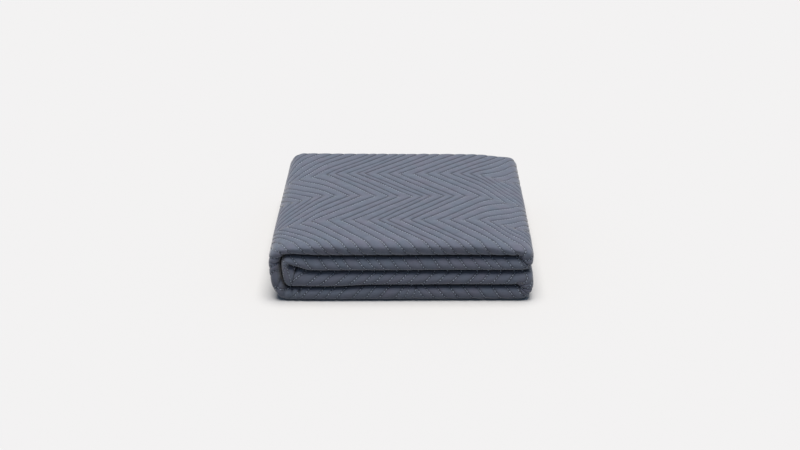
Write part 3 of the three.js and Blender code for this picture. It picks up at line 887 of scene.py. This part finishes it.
def stitch_mesh(name, material, runs):
    """Small threads laid end to end along runs of seam."""
    centre, ahead, side = (np.concatenate(part) for part in zip(*runs))
    out = np.cross(side, ahead)
    centre = centre + STITCH_LIFT * out
    count, sides, rings = len(centre), STITCH_SIDES, len(STITCH_RINGS)
    points = np.empty((count, rings, sides, 3))
    for ring, (way, thick) in enumerate(STITCH_RINGS):
        for k in range(sides):
            turn = 2 * math.pi * (k + 0.5) / sides
            across = STITCH_RADIUS * thick * (math.cos(turn) * side + math.sin(turn) * out)
            points[:, ring, k] = centre + way * STITCH_LENGTH / 2 * ahead + across
    below = np.minimum(points[..., 2].min(axis=(1, 2)), 0)
    points[..., 2] -= below[:, None, None]  # the lowest ones lie on the floor, not in it
    pattern = []
    for ring in range(rings - 1):
        for k in range(sides):
            a, b = ring * sides + k, ring * sides + (k + 1) % sides
            pattern.append((a, b, b + sides, a + sides))
    pattern.append(tuple(reversed(range(sides))))
    pattern.append(tuple(range((rings - 1) * sides, rings * sides)))
    starts = np.arange(count) * rings * sides
    faces = (starts[:, None, None] + np.array(pattern)[None]).reshape(-1, 4)
    return new_mesh_object(name, points.reshape(-1, 3), faces.tolist(), material)


def seam_runs(low, high, only_shown):
    """The stretches of every seam between two distances v, as stitch places."""
    v = np.arange(low, high, LINE_STEP)
    runs = []
    for seam in SEAMS[:-1]:
        line, s, inside = seam_line(seam, v)
        if only_shown:
            inside &= face_shows(s) > SHOWN_ENOUGH
        beside, _, _ = seam_line(seam, v, BESIDE_SHARE)
        changes = np.flatnonzero(np.diff(inside.astype(int))) + 1
        for run in np.split(np.arange(len(v)), changes):
            if inside[run[0]] and len(run) > 3:
                runs.append(stitch_centres(line[run], beside[run]))
    return runs


def make_stitches(material):
    folds = [row for row in OUTER_ROWS if row.kind == "fold"]
    first_back = [row.v for row in folds if row.v < 40]
    front = [row.v for row in folds if row.y < FRONT_Y + 1]
    second_back = [row.v for row in folds if row.y > 0 and row.v > max(front)]
    runs = seam_runs(min(first_back) + 1, max(first_back), False)
    runs += seam_runs(max(first_back), min(front), True)
    runs += seam_runs(min(front), max(front) - 1, False)
    runs += seam_runs(min(second_back) + 1, max(second_back) - 1, False)
    return stitch_mesh("seam_stitches", material, runs)


# ---- Materials ------------------------------------------------------------------------------------

CLOTH_WARM = (0.073, 0.075, 0.099)
CLOTH_COOL = (0.065, 0.077, 0.1)
THREAD_COLOUR = (0.28, 0.32, 0.385)
FLOOR_COLOUR = (0.397, 0.388, 0.38)
PAINTED_SEAM_DARKENING = 0.5  # the cloth's tone on a seam: painted shade in its groove
PAINTED_GAP_DARKENING = 0.25  # and where it lies between two layers: painted shade in the gaps
# Noises over the cloth, in steps for each metre.
HUE_SCALE = 26.0
LIGHT_SCALE = 60.0
FLECK_SCALE = 900.0
WEAVE_SCALE = 1300.0
PUCKER_HEIGHT = 0.9  # of the bump's depth
WEAVE_HEIGHT = 0.12
BUMP_DEPTH = 0.0016  # m
BUMP_STRENGTH = 0.8


class Nodes:
    """A small help to build one material's nodes."""

    def __init__(self, name):
        self.material = bpy.data.materials.new(name)
        self.material.use_nodes = True
        self.tree = self.material.node_tree
        self.shader = self.tree.nodes["Principled BSDF"]

    def add(self, kind, inputs=(), **settings):
        node = self.tree.nodes.new(kind)
        for key, value in settings.items():
            setattr(node, key, value)
        for key, value in dict(inputs).items():
            if isinstance(value, bpy.types.NodeSocket):
                self.tree.links.new(value, node.inputs[key])
            else:
                node.inputs[key].default_value = value
        return node

    def attribute(self, name, output="Fac"):
        return self.add("ShaderNodeAttribute", attribute_name=name).outputs[output]

    def noise(self, vector, scale, detail=2.0, roughness=0.5):
        inputs = {"Vector": vector, "Scale": scale, "Detail": detail, "Roughness": roughness}
        return self.add("ShaderNodeTexNoise", inputs).outputs["Fac"]

    def math(self, operation, a, b=0.0):
        return self.add("ShaderNodeMath", {0: a, 1: b}, operation=operation).outputs[0]

    def spread(self, value, low, high, to_low, to_high):
        inputs = {"Value": value, "From Min": low, "From Max": high}
        inputs.update({"To Min": to_low, "To Max": to_high})
        return self.add("ShaderNodeMapRange", inputs).outputs["Result"]

    def mix(self, share, a, b, blend="MIX"):
        node = self.add("ShaderNodeMix", data_type="RGBA", blend_type=blend)
        for index, value in ((0, share), (6, a), (7, b)):
            if isinstance(value, bpy.types.NodeSocket):
                self.tree.links.new(value, node.inputs[index])
            elif index:
                node.inputs[index].default_value = (*value, 1.0)
            else:
                node.inputs[index].default_value = value
        return node.outputs[2]

    def colour(self, value):
        if isinstance(value, bpy.types.NodeSocket):
            self.tree.links.new(value, self.shader.inputs["Base Color"])
        else:
            self.set("Base Color", (*value, 1.0))

    def set(self, name, value):
        self.shader.inputs[name].default_value = value

    def bump(self, height, distance, strength):
        inputs = {"Height": height, "Distance": distance, "Strength": strength}
        node = self.add("ShaderNodeBump", inputs)
        self.tree.links.new(node.outputs["Normal"], self.shader.inputs["Normal"])


def quilted_cloth():
    """Matt woven cloth, mottled a little in hue, puckered, with painted shade along the seams."""
    nodes = Nodes("quilted_cloth_woven")
    where = nodes.attribute("cloth_place", "Vector")
    seam = nodes.attribute("seam")
    along_seam = nodes.attribute("pucker_place", "Vector")
    painted_gap_shade = nodes.attribute("gap_shade_share")
    hue = nodes.spread(nodes.noise(where, HUE_SCALE, 3.0), 0.32, 0.68, 0.0, 1.0)
    ground = nodes.mix(hue, CLOTH_WARM, CLOTH_COOL)
    light = nodes.spread(nodes.noise(where, LIGHT_SCALE, 4.0, 0.6), 0.25, 0.75, 0.88, 1.12)
    fleck = nodes.spread(nodes.noise(where, FLECK_SCALE, 1.0), 0.2, 0.8, 0.9, 1.1)
    tone = nodes.math("MULTIPLY", light, fleck)
    # Painted shade: darker along the seams' grooves, where shade falls.
    tone = nodes.math("MULTIPLY", tone, nodes.spread(seam, 0.0, 1.0, 1.0, PAINTED_SEAM_DARKENING))
    # Painted shade: darker where the cloth lies between two layers.
    tone = nodes.math("MULTIPLY", tone, nodes.spread(painted_gap_shade, 0.0, 1.0, 1.0, PAINTED_GAP_DARKENING))
    grey = nodes.add("ShaderNodeCombineColor", {0: tone, 1: tone, 2: tone}).outputs[0]
    nodes.colour(nodes.mix(1.0, ground, grey, "MULTIPLY"))
    weave = nodes.math("MULTIPLY", nodes.noise(where, WEAVE_SCALE, 1.0), WEAVE_HEIGHT)
    pucker = nodes.noise(along_seam, 1.0, 2.0)
    pucker = nodes.math("MULTIPLY", pucker, nodes.attribute("pucker_strength"))
    pucker = nodes.math("MULTIPLY", pucker, PUCKER_HEIGHT)
    nodes.bump(nodes.math("ADD", pucker, weave), BUMP_DEPTH, BUMP_STRENGTH)
    nodes.set("Roughness", 0.95)
    nodes.set("Specular IOR Level", 0.15)
    nodes.set("Sheen Weight", 0.3)
    nodes.set("Sheen Tint", (1.0, 0.96, 0.92, 1.0))
    nodes.set("Sheen Roughness", 0.5)
    return nodes.material


def stitch_thread():
    nodes = Nodes("stitch_thread")
    nodes.colour(THREAD_COLOUR)
    nodes.set("Roughness", 0.7)
    nodes.set("Sheen Weight", 0.2)
    return nodes.material


def pale_floor():
    nodes = Nodes("pale_floor")
    nodes.colour(FLOOR_COLOUR)
    nodes.set("Roughness", 0.9)
    nodes.set("Specular IOR Level", 0.0)
    return nodes.material


# ---- The floor, the light and the camera ----------------------------------------------------------

FLOOR_SIZE = 40  # m
SKY_STRENGTH = 0.34
SKY_COLOUR = (0.56, 0.77, 1.1)
SUN_STRENGTH = 6.5
SUN_COLOUR = (1.0, 0.98, 0.95)
# Degrees: a broad, soft sun from almost straight above.
SUN_SPREAD = 40
SUN_TURN = (3, 1, 0)
CAMERA_PLACE = (0.0181, -2.2358, 1.1616)
CAMERA_TURN = (90 - 26.27, 0, 0.607)
LENS = 52.47
SENSOR_WIDTH = 36


def make_floor():
    bpy.ops.mesh.primitive_plane_add(size=FLOOR_SIZE, location=(0, 0, 0))
    floor = bpy.context.object
    floor.name = "floor"
    floor.data.materials.append(pale_floor())


def make_lights():
    sky = bpy.data.worlds.new("sky")
    sky.use_nodes = True
    light = sky.node_tree.nodes["Background"].inputs
    light["Color"].default_value = (*SKY_COLOUR, 1.0)
    light["Strength"].default_value = SKY_STRENGTH
    bpy.context.scene.world = sky
    data = bpy.data.lights.new("overhead", "SUN")
    data.energy = SUN_STRENGTH
    data.color = SUN_COLOUR
    data.angle = math.radians(SUN_SPREAD)
    sun = bpy.data.objects.new("overhead", data)
    sun.rotation_euler = [math.radians(turn) for turn in SUN_TURN]
    bpy.context.scene.collection.objects.link(sun)


def make_camera():
    data = bpy.data.cameras.new("camera")
    data.lens = LENS
    data.sensor_width = SENSOR_WIDTH
    data.sensor_fit = "HORIZONTAL"
    camera = bpy.data.objects.new("camera", data)
    camera.location = CAMERA_PLACE
    camera.rotation_euler = [math.radians(turn) for turn in CAMERA_TURN]
    bpy.context.scene.collection.objects.link(camera)
    bpy.context.scene.camera = camera


# ---- Everything together --------------------------------------------------------------------------

make_camera()
make_lights()
make_floor()
bpy.context.scene.view_settings.view_transform = "Standard"

blanket = make_blanket(quilted_cloth())
stitches = make_stitches(stitch_thread())
for piece in (blanket, stitches):
    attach(piece, BODY)
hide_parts(NODE)
